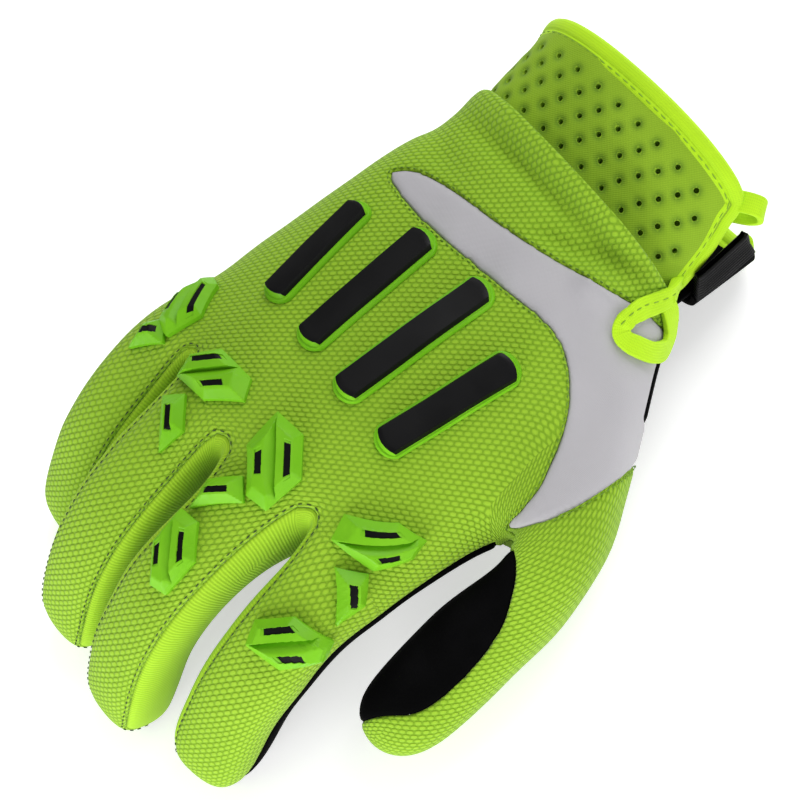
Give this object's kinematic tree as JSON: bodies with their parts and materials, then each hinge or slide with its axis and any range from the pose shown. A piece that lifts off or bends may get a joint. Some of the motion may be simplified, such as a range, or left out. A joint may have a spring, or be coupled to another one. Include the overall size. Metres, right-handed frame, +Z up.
{
  "type": "motocross glove",
  "caption": "Right-hand motocross glove in filled form, palm down, with moulded finger guards, ribbed gussets and a perforated cuff with a slit.",
  "frame": {"origin": "centre of the bounding box at its base, on the surface the glove lies on", "axes": "+Z up, the back of the hand faces up; fingers towards -Y, wrist opening towards +Y, thumb side +X"},
  "size_m": [0.1266, 0.2002, 0.0588],
  "materials": {
    "lime_cloth": "raised dotted mesh",
    "white_cloth": "matt stretch cloth",
    "black_suede": "suede",
    "green_neoprene": "perforated",
    "neon_tape": "folded tape",
    "lime_rubber": "satin",
    "black_rubber": "satin"
  },
  "bodies": {
    "root": {"back_panel": "lime_cloth", "cuff_back": "green_neoprene", "cuff_binding": "neon_tape", "cuff_palm": "black_suede", "guard_index_joint": "lime_rubber", "guard_index_knuckle": "lime_rubber", "guard_index_middle": "lime_rubber", "guard_little_knuckle": "lime_rubber", "guard_little_middle": "lime_rubber", "guard_middle_joint": "lime_rubber", "guard_middle_knuckle": "lime_rubber", "guard_middle_middle": "lime_rubber", "guard_ring_knuckle": "lime_rubber", "guard_ring_middle": "lime_rubber", "gusset_index_middle": "green_neoprene", "gusset_middle_ring": "green_neoprene", "gusset_ring_little": "green_neoprene", "palm_loop": "neon_tape", "palm_panel": "black_suede", "pull_loop": "neon_tape", "rib_index": "black_rubber", "rib_little": "black_rubber", "rib_middle": "black_rubber", "rib_ring": "black_rubber", "strap_tab": "black_rubber", "thumb_inner": "black_suede", "thumb_outer": "lime_cloth", "white_panel": "white_cloth", "wrist_strap": "black_suede"}
  },
  "joints": []
}
